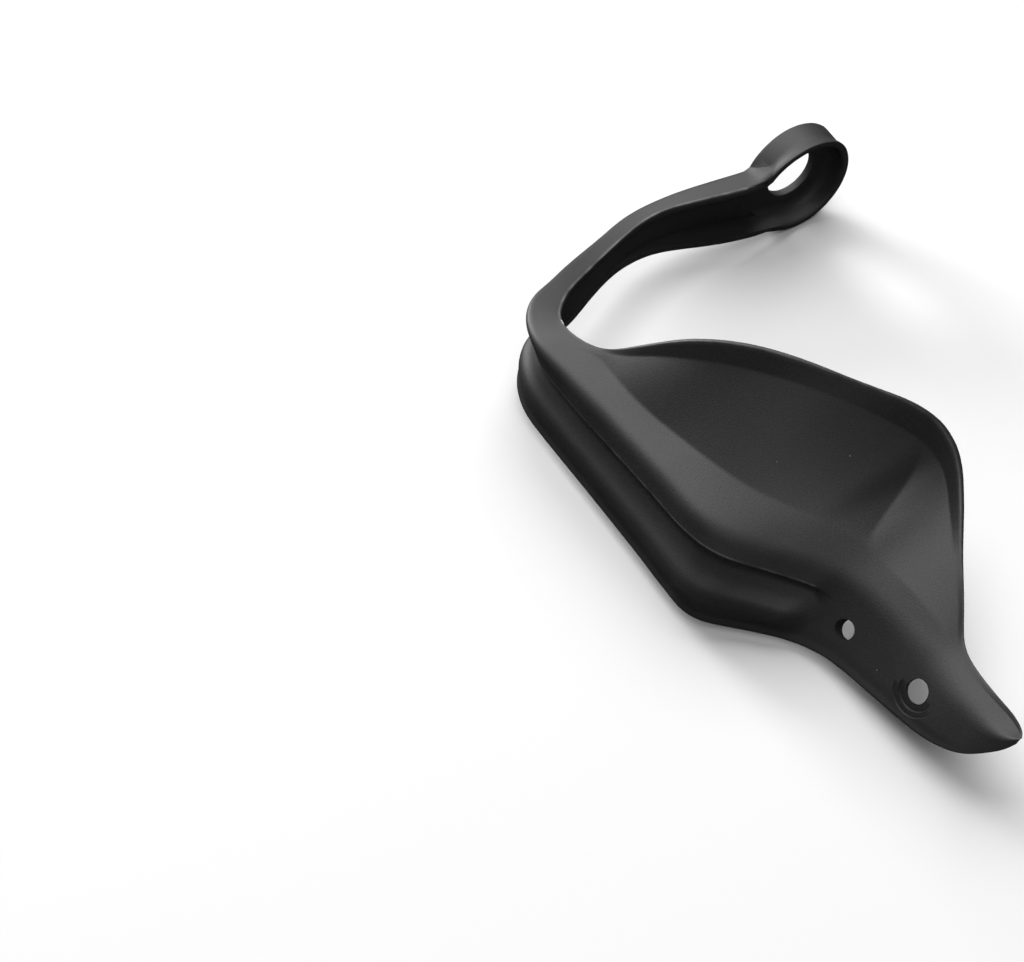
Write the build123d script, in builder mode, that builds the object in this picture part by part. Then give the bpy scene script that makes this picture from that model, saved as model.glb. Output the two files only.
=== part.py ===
from build123d import *
import math
import os

# Motorcycle hand guard, right hand, one injection moulding.
# Millimetres.  Origin: centre of the bar-end bore on the pad face.
# X: bore axis, positive outboard.  Y: forward, along the arm.  Z: up.

# ---- driving dimensions -------------------------------------------------
WALL = 2.8              # general wall of the moulding
EDGE_BULGE = 0.9        # rounding height of the free rims

BORE_D = 20.0           # bar-end bore
PAD_D = 29.5            # raised seat round the bore
PAD_STEP = 0.3          # seat height over the cup floor
CUP_D = 40.0            # cup outside
CUP_WALL = 2.65         # cup side wall
CUP_MOUTH_X = -8.0      # open rim of the cup
CUP_BACK_X = 3.0        # outboard face of the cup

# Flare of the arm's top flange up into the cup rim (Y, Z), at the rim and at
# the outboard face, and the hollow that opens the cup into the arm channel.
FLARE_RIM = [(9.2, 17.7), (13.3, 14.8), (16.8, 12.3), (20.0, 10.9), (23.5, 10.4), (23.5, 8.0), (9.0, 8.0)]
FLARE_BACK = [(16.9, 10.6), (17.2, 10.2), (17.5, 9.9), (18.2, 9.7), (19.5, 9.5), (19.5, 8.0), (9.0, 8.0)]
FLARE_BACK_X = 2.6
GATE_LOW = [(23.5, -11.6), (20.0, -12.15), (16.0, -13.3), (12.0, -14.45), (6.2, -16.3), (7.5, -14.1),
            (12.3, -10.3), (15.0, -5.5), (16.0, 0.0), (15.0, 5.5)]
GATE_RIM = [(8.0, 15.4), (11.7, 12.4), (15.3, 9.9), (18.8, 8.3), (23.5, 7.6)] + GATE_LOW + [(12.7, 9.8), (8.6, 13.5)]
GATE_BACK = [(13.6, 9.3), (14.6, 8.9), (16.0, 8.0), (18.8, 7.4), (23.5, 7.3)] + GATE_LOW + [(14.2, 7.4), (13.6, 8.4)]

SCREW_D = 8.0           # clamp screw hole in the tongue
SCREW_AT = (-192.3, 94.4, -5.9)
RECESS_D = 16.0         # shallow outer recess round the screw hole
RECESS_STEP_D = 12.4    # second step of that recess
RECESS_DEPTH = 1.2      # depth of each step
BOSS_D = 18.5           # boss behind the screw hole
BOSS_H = 0.6            # its height over the back of the wall
LOCATOR_D = 6.4         # plain locating hole in the tongue
LOCATOR_AT = (-162.7, 98.5, -7.8)
TONGUE_NORMAL = (0.0, 0.73, 0.683)

# Sections of the main wall: plan position of the inner rim, direction of
# the section plane (degrees from +X), then five corners (along, Z):
# inner rim, lip bend, panel valley, crown ridge, wall foot.
ARM_SECTIONS = [
    (-7.7, 15.6, 0.0, (0.0, 10.3), (2.4, 10.2), (4.8, 10.0), (10.8, 9.5), (10.5, -15.0)),
    (-7.2, 20.0, 0.0, (0.0, 10.4), (2.4, 10.2), (4.8, 10.0), (10.8, 9.3), (10.4, -14.6)),
    (-6.2, 26.0, 0.0, (0.0, 10.5), (2.4, 10.2), (4.8, 9.9), (11.1, 9.0), (10.3, -13.8)),
    (-3.6, 35.0, 0.0, (0.0, 10.2), (2.2, 9.8), (4.4, 9.5), (10.5, 8.6), (9.2, -12.8)),
    (-0.4, 44.0, 0.0, (0.0, 9.2), (1.9, 8.9), (3.8, 8.6), (9.4, 7.8), (7.4, -11.8)),
    (2.4, 52.0, 6.0, (0.0, 7.9), (1.6, 7.7), (3.2, 7.5), (8.0, 7.0), (5.1, -10.9)),
    (3.3, 59.5, 10.0, (0.0, 6.9), (1.5, 6.8), (3.0, 6.8), (7.4, 6.6), (4.0, -10.2)),
    (2.0, 67.3, 12.0, (0.0, 6.4), (1.5, 6.5), (3.0, 6.6), (7.4, 6.8), (3.9, -9.6)),
    (-0.8, 75.5, 13.0, (0.0, 6.8), (1.5, 7.0), (3.0, 7.2), (7.3, 7.6), (3.6, -9.1)),
    (-4.4, 84.0, 14.5, (0.0, 7.8), (1.5, 8.1), (3.0, 8.3), (7.5, 9.0), (3.4, -8.6)),
    (-8.6, 92.4, 15.4, (0.0, 9.6), (1.6, 9.9), (3.3, 10.1), (8.1, 10.8), (3.5, -8.1)),
    (-13.2, 100.8, 16.0, (0.0, 12.0), (1.7, 12.2), (3.5, 12.4), (8.6, 12.8), (4.0, -7.4)),
    (-17.6, 107.0, 19.0, (0.0, 14.1), (2.0, 14.2), (4.0, 14.3), (9.8, 14.4), (5.6, -6.0)),
]
ELBOW_SECTIONS = [
    (-21.4, 110.9, 28.0, (0.0, 15.7), (2.4, 15.7), (4.9, 15.7), (11.7, 15.8), (7.8, -3.2)),
    (-25.6, 114.2, 43.0, (0.0, 17.4), (2.6, 17.4), (5.3, 17.3), (12.6, 17.2), (9.3, 2.4)),
    (-30.2, 116.2, 61.0, (0.0, 18.9), (2.8, 18.7), (5.7, 18.6), (12.9, 18.2), (10.8, 7.0)),
    (-35.4, 116.8, 78.0, (0.0, 20.0), (2.9, 19.8), (6.0, 19.6), (13.0, 18.8), (12.4, 9.6)),
    (-42.0, 115.6, 88.0, (0.0, 20.6), (2.4, 20.3), (5.0, 20.0), (13.8, 19.0), (14.2, 10.2)),
]
SHELL_SECTIONS = [
    (-50.0, 112.3, 90.0, (0.0, 22.2), (1.3, 21.6), (4.0, 20.6), (16.3, 19.0), (17.4, 10.4)),
    (-57.0, 107.5, 90.0, (0.0, 27.0), (2.5, 24.0), (8.3, 20.5), (20.5, 19.0), (22.2, 10.4)),
    (-64.0, 102.6, 90.0, (0.0, 32.6), (2.8, 27.8), (13.1, 20.5), (24.8, 18.8), (26.8, 10.4)),
    (-72.0, 97.6, 90.0, (0.0, 38.6), (3.1, 32.0), (17.4, 20.1), (29.0, 18.7), (31.2, 10.4)),
    (-80.0, 92.4, 90.0, (0.0, 42.8), (3.6, 35.4), (21.4, 19.5), (33.6, 18.6), (35.9, 10.4)),
    (-88.0, 86.6, 90.0, (0.0, 45.0), (3.9, 37.3), (25.6, 19.2), (38.7, 18.4), (41.4, 10.3)),
    (-96.0, 80.4, 90.0, (0.0, 45.3), (4.3, 38.0), (30.1, 19.1), (44.4, 18.1), (47.2, 10.2)),
    (-104.0, 73.2, 90.0, (0.0, 43.6), (5.4, 37.6), (35.2, 18.7), (51.0, 17.6), (54.2, 10.2)),
    (-112.0, 65.3, 90.0, (0.0, 40.2), (6.4, 35.4), (40.4, 17.8), (58.4, 17.0), (61.8, 10.1)),
    (-119.0, 58.1, 90.0, (0.0, 36.8), (6.4, 31.7), (44.2, 16.6), (64.1, 16.2), (68.2, 10.0)),
    (-125.0, 52.5, 90.0, (0.0, 34.0), (5.5, 27.3), (46.0, 15.4), (66.7, 15.0), (72.1, 9.8)),
    (-130.0, 47.9, 90.0, (0.0, 30.2), (4.9, 22.9), (47.0, 14.2), (67.1, 13.5), (73.7, 8.9)),
    (-135.0, 44.2, 90.0, (0.0, 25.0), (4.6, 18.2), (47.0, 12.8), (65.7, 11.5), (72.1, 6.6)),
    (-140.0, 43.0, 90.0, (0.0, 20.0), (4.4, 14.0), (44.4, 11.0), (61.2, 9.5), (67.9, 4.7)),
    (-145.0, 44.3, 90.0, (0.0, 16.2), (4.3, 11.1), (39.8, 8.9), (54.4, 7.3), (61.0, 2.6)),
    (-149.5, 46.8, 90.0, (0.0, 13.7), (4.2, 9.4), (35.1, 7.1), (47.7, 5.4), (53.9, 1.0)),
    (-153.0, 49.1, 90.0, (0.0, 12.2), (4.1, 8.6), (31.7, 6.1), (43.0, 4.1), (50.2, -1.6)),
    (-155.5, 50.8, 90.0, (0.0, 11.3), (4.0, 8.2), (29.5, 5.6), (40.2, 3.4), (50.4, -6.2)),
    (-158.0, 52.6, 90.0, (0.0, 10.4), (3.9, 7.9), (27.3, 5.3), (37.5, 2.8), (51.9, -11.6)),
    (-161.0, 54.8, 90.0, (0.0, 9.5), (3.7, 7.6), (24.8, 5.1), (34.6, 2.3), (51.8, -15.2)),
    (-165.0, 57.7, 90.0, (0.0, 8.3), (3.5, 7.2), (21.6, 5.0), (31.2, 1.8), (48.6, -16.0)),
    (-171.0, 61.9, 90.0, (0.0, 6.7), (3.2, 6.5), (17.1, 4.8), (26.3, 1.5), (42.8, -15.3)),
    (-178.0, 66.9, 90.0, (0.0, 5.0), (2.7, 5.3), (12.0, 4.3), (21.1, 1.2), (36.8, -14.5)),
    (-184.0, 71.5, 90.0, (0.0, 3.4), (2.6, 3.9), (7.6, 3.5), (16.3, 1.1), (31.4, -13.9)),
]
TONGUE_SECTIONS = [
    (-190.0, 76.0, 90.0, (0.0, 2.4), (2.4, 2.5), (4.4, 2.5), (12.0, 1.0), (26.2, -13.5)),
    (-196.0, 78.3, 90.0, (0.0, 2.4), (1.7, 2.5), (3.2, 2.6), (10.2, 1.3), (23.1, -12.9)),
    (-203.0, 79.4, 90.0, (0.0, 2.8), (1.4, 3.0), (2.8, 3.2), (9.9, 2.0), (20.8, -12.0)),
    (-210.0, 79.8, 90.0, (0.0, 2.9), (1.3, 3.3), (2.6, 3.8), (9.8, 2.8), (18.4, -10.0)),
    (-216.0, 79.9, 90.0, (0.0, 2.8), (1.2, 3.4), (2.4, 4.1), (9.3, 3.6), (15.7, -6.4)),
    (-220.0, 80.8, 90.0, (0.0, 3.2), (1.0, 3.8), (2.0, 4.5), (7.6, 4.4), (11.8, -2.2)),
    (-222.6, 82.2, 90.0, (0.0, 4.0), (0.8, 4.6), (1.6, 5.2), (5.0, 5.3), (7.9, 1.0)),
]
# Wall at the last tongue sections, drawn in towards the tip.
TIP_WALLS = {-210.0: 2.5, -216.0: 2.1, -220.0: 1.6, -222.6: 1.1}
# Bend allowance (lip, valley, ridge) for each group of sections.
ARM_BENDS = (0.5, 0.5, 2.3)
ELBOW_BENDS = (0.6, 1.2, 2.8)
SHELL_BENDS = (0.8, 1.2, 3.0)
TONGUE_BENDS = (0.6, 0.8, 3.0)

# Front skirt: plan position of the wall foot, direction outward (degrees
# from +X), wall foot height, reach and height of the skirt rim, and how
# far the flange has grown out of the wall.
SKIRT_STATIONS = [
    (-3.3, 95.0, 16.0, 2.0, -2.5, -7.8, 0.0),
    (-7.3, 102.6, 18.0, 2.6, -0.8, -9.4, 0.2),
    (-10.8, 109.3, 24.0, 3.8, 2.4, -11.6, 0.5),
    (-14.0, 115.2, 38.0, 5.2, 5.2, -13.2, 0.85),
    (-18.6, 120.9, 52.0, 7.0, 6.0, -14.0, 1.0),
    (-26.0, 125.2, 70.0, 9.0, 6.6, -14.0, 1.0),
    (-34.0, 128.4, 84.0, 10.0, 5.8, -14.0, 1.0),
    (-43.0, 129.4, 90.0, 10.2, 5.3, -14.0, 1.0),
    (-56.0, 129.4, 90.0, 10.4, 5.2, -14.0, 1.0),
    (-72.0, 128.7, 90.0, 10.4, 5.7, -14.0, 1.0),
    (-88.0, 127.9, 90.0, 10.3, 6.4, -14.0, 1.0),
    (-103.0, 127.3, 93.0, 10.2, 7.0, -14.0, 1.0),
    (-113.0, 126.9, 102.0, 10.1, 7.8, -14.0, 1.0),
    (-120.0, 125.9, 113.0, 10.0, 9.3, -14.1, 1.0),
    (-126.0, 124.0, 119.0, 9.7, 9.6, -15.2, 1.0),
    (-131.4, 120.2, 129.0, 8.3, 8.3, -16.5, 1.0),
    (-138.0, 113.0, 132.0, 5.6, 8.6, -16.8, 1.0),
    (-145.0, 105.4, 129.0, 2.6, 9.5, -16.9, 0.95),
    (-151.0, 99.6, 125.0, 0.2, 10.9, -16.7, 0.75),
    (-156.4, 95.4, 120.0, -2.4, 12.3, -16.2, 0.15),
]
SKIRT_WALL = 2.6

# Arm bottom flange: station, inner edge X, outer edge X, underside Z.
ARM_FLANGE = [
    (5.0, -8.0, 3.0, -19.3),
    (12.0, -8.0, 3.0, -17.1),
    (20.0, -8.1, 3.2, -14.8),
    (28.0, -7.4, 4.2, -13.6),
    (36.0, -5.6, 5.4, -12.7),
    (45.0, -3.0, 6.7, -11.7),
    (54.0, -0.4, 7.2, -10.8),
    (62.0, 1.0, 6.8, -10.1),
    (70.0, 1.2, 5.2, -9.5),
    (78.0, -0.6, 2.2, -9.0),
]
ARM_FLANGE_T = 2.6


# ---- profile helpers ----------------------------------------------------
def unit(a, b):
    dx, dy = b[0] - a[0], b[1] - a[1]
    n = math.hypot(dx, dy)
    return (dx / n, dy / n)


def along(p, u, s):
    return (p[0] + u[0] * s, p[1] + u[1] * s)


def thin_profile(pts, bends, wall, cap0, cap1):
    """Closed outline of a folded wall: pts run along its outer face."""
    n = len(pts)
    u = [unit(pts[i], pts[i + 1]) for i in range(n - 1)]
    pts = list(pts)
    pts[0] = along(pts[0], u[0], cap0)
    pts[-1] = along(pts[-1], u[-1], -cap1)
    nrm = [(d[1], -d[0]) for d in u]
    inner = [along(pts[0], nrm[0], wall)]
    shift = [0.0]
    for i in range(1, n - 1):
        a, b = nrm[i - 1], nrm[i]
        k = wall / (1.0 + a[0] * b[0] + a[1] * b[1])
        inner.append((pts[i][0] + (a[0] + b[0]) * k, pts[i][1] + (a[1] + b[1]) * k))
        turn = math.atan2(u[i - 1][0] * u[i][1] - u[i - 1][1] * u[i][0],
                          u[i - 1][0] * u[i][0] + u[i - 1][1] * u[i][1])
        shift.append(wall * math.tan(turn / 2.0))
    inner.append(along(pts[-1], nrm[-1], wall))

    def lengths(path):
        return [math.hypot(path[i + 1][0] - path[i][0], path[i + 1][1] - path[i][1]) for i in range(n - 1)]

    lo, li = lengths(pts), lengths(inner)
    outer_d, inner_d = [0.0], [0.0]
    for i in range(1, n - 1):
        d = min(bends[i - 1], 0.42 * lo[i - 1], 0.42 * lo[i])
        e = min(max(d + shift[i], 0.3), 0.42 * li[i - 1], 0.42 * li[i])
        outer_d.append(d)
        inner_d.append(e)
    outer_d.append(0.0)
    inner_d.append(0.0)
    with BuildLine() as outline:
        last = pts[0]
        for i in range(1, n - 1):
            a, b = along(pts[i], u[i - 1], -outer_d[i]), along(pts[i], u[i], outer_d[i])
            Line(last, a)
            Bezier(a, pts[i], b)
            last = b
        Line(last, pts[-1])
        mid = ((pts[-1][0] + inner[-1][0]) / 2, (pts[-1][1] + inner[-1][1]) / 2)
        ThreePointArc(pts[-1], along(mid, u[-1], cap1), inner[-1])
        last = inner[-1]
        for i in range(n - 2, 0, -1):
            a, b = along(inner[i], u[i], inner_d[i]), along(inner[i], u[i - 1], -inner_d[i])
            Line(last, a)
            Bezier(a, inner[i], b)
            last = b
        Line(last, inner[0])
        mid = ((pts[0][0] + inner[0][0]) / 2, (pts[0][1] + inner[0][1]) / 2)
        ThreePointArc(inner[0], along(mid, u[0], -cap0), pts[0])
    make_face(outline.line.edges())


def upright(x, y, angle):
    """Vertical plane through (x, y): its own x runs outward in plan, y is up."""
    a = math.radians(angle)
    h = Vector(math.cos(a), math.sin(a), 0)
    return Plane(origin=(x, y, 0), x_dir=h, z_dir=h.cross(Vector(0, 0, 1)))


# ---- the moulding -------------------------------------------------------
with BuildPart() as main_wall:
    for rows, bends in ((ARM_SECTIONS, ARM_BENDS), (ELBOW_SECTIONS, ELBOW_BENDS),
                        (SHELL_SECTIONS, SHELL_BENDS), (TONGUE_SECTIONS, TONGUE_BENDS)):
        for x, y, angle, *corners in rows:
            wall = TIP_WALLS.get(x, WALL)
            with BuildSketch(upright(x, y, angle)):
                thin_profile(corners, bends, wall, min(EDGE_BULGE, 0.4 * wall), 0.5)
    loft(clean=False)

with BuildPart() as skirt:
    for sx, sy, angle, sz, reach, bz, grow in SKIRT_STATIONS:
        drop = sz - bz
        full = [(-1.7, -0.13), (-1.6, 0.20), (0.34 * reach - 1.0, 0.36), (0.75 * reach - 0.2, 0.49),
                (reach - 0.9, 0.66), (reach - 0.7, 0.9), (reach, 1.0)]
        with BuildSketch(upright(sx, sy, angle)):
            thin_profile([((1 - grow) * (reach * k - 0.2) + grow * h, sz - k * drop) for h, k in full],
                         (0.6, 1.2, 1.6, 1.4, 0.6), SKIRT_WALL, 0.4, 0.8)
    loft(clean=False)

with BuildPart() as arm_flange:
    for y, xi, xo, zb in ARM_FLANGE:
        with BuildSketch(upright(0, y, 0)):
            with BuildLine():
                Polyline((xi + 0.8, zb), (xo, zb), (xo, zb + ARM_FLANGE_T), (xi + 0.8, zb + ARM_FLANGE_T))
                ThreePointArc((xi + 0.8, zb + ARM_FLANGE_T), (xi, zb + ARM_FLANGE_T / 2), (xi + 0.8, zb))
            make_face()
    loft(clean=False)

with BuildPart() as cup:
    with BuildSketch(Plane.YZ.offset(CUP_MOUTH_X)):
        Circle(CUP_D / 2)
    extrude(amount=CUP_BACK_X - CUP_MOUTH_X)
    with BuildSketch(Plane.YZ.offset(CUP_MOUTH_X)):
        Polygon(*FLARE_RIM, align=None)
    with BuildSketch(Plane.YZ.offset(FLARE_BACK_X)):
        Polygon(*FLARE_BACK, align=None)
    loft(ruled=True)
    with BuildSketch(Plane.YZ.offset(CUP_MOUTH_X)):
        Circle(CUP_D / 2 - CUP_WALL)
    extrude(amount=PAD_STEP - CUP_MOUTH_X, mode=Mode.SUBTRACT)
    with BuildSketch(Plane.YZ):
        Circle(PAD_D / 2)
    extrude(amount=CUP_BACK_X)
    with BuildSketch(Plane.YZ):
        Circle(BORE_D / 2)
    extrude(amount=CUP_BACK_X, mode=Mode.SUBTRACT)

with BuildPart() as gate:
    with BuildSketch(Plane.YZ.offset(CUP_MOUTH_X - 1.5)):
        Polygon(*GATE_RIM, align=None)
    with BuildSketch(Plane.YZ):
        Polygon(*GATE_BACK, align=None)
    loft(ruled=True)

screw_plane = Plane(origin=SCREW_AT, x_dir=(1, 0, 0), z_dir=TONGUE_NORMAL)
locator_plane = Plane(origin=LOCATOR_AT, x_dir=(1, 0, 0), z_dir=TONGUE_NORMAL)

with BuildPart() as hand_guard:
    add(main_wall.part, clean=False)
    add(skirt.part, clean=False)
    add(arm_flange.part, clean=False)
    add(cup.part, clean=False)
    add(gate.part, clean=False, mode=Mode.SUBTRACT)
    with BuildSketch(screw_plane.offset(-WALL - BOSS_H)):
        Circle(BOSS_D / 2)
    extrude(amount=BOSS_H + 1.2, clean=False)
    with BuildSketch(screw_plane.offset(-WALL - BOSS_H - 2.0)):
        Circle(SCREW_D / 2)
    extrude(amount=20.0, clean=False, mode=Mode.SUBTRACT)
    with BuildSketch(screw_plane.offset(-RECESS_DEPTH)):
        Circle(RECESS_D / 2)
    extrude(amount=6.0, clean=False, mode=Mode.SUBTRACT)
    with BuildSketch(screw_plane.offset(-2 * RECESS_DEPTH)):
        Circle(RECESS_STEP_D / 2)
    extrude(amount=6.0, clean=False, mode=Mode.SUBTRACT)
    with BuildSketch(locator_plane.offset(-8.0)):
        Circle(LOCATOR_D / 2)
    extrude(amount=16.0, clean=False, mode=Mode.SUBTRACT)

hand_guard.part.label = "hand_guard"
os.makedirs("parts", exist_ok=True)
export_step(hand_guard.part, "parts/hand_guard.step")
print("hand_guard", len(hand_guard.part.solids()), "solid", round(hand_guard.part.volume), "mm3")
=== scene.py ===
import bpy, bmesh, math
import numpy as np
from mathutils import Vector, Matrix


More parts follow.
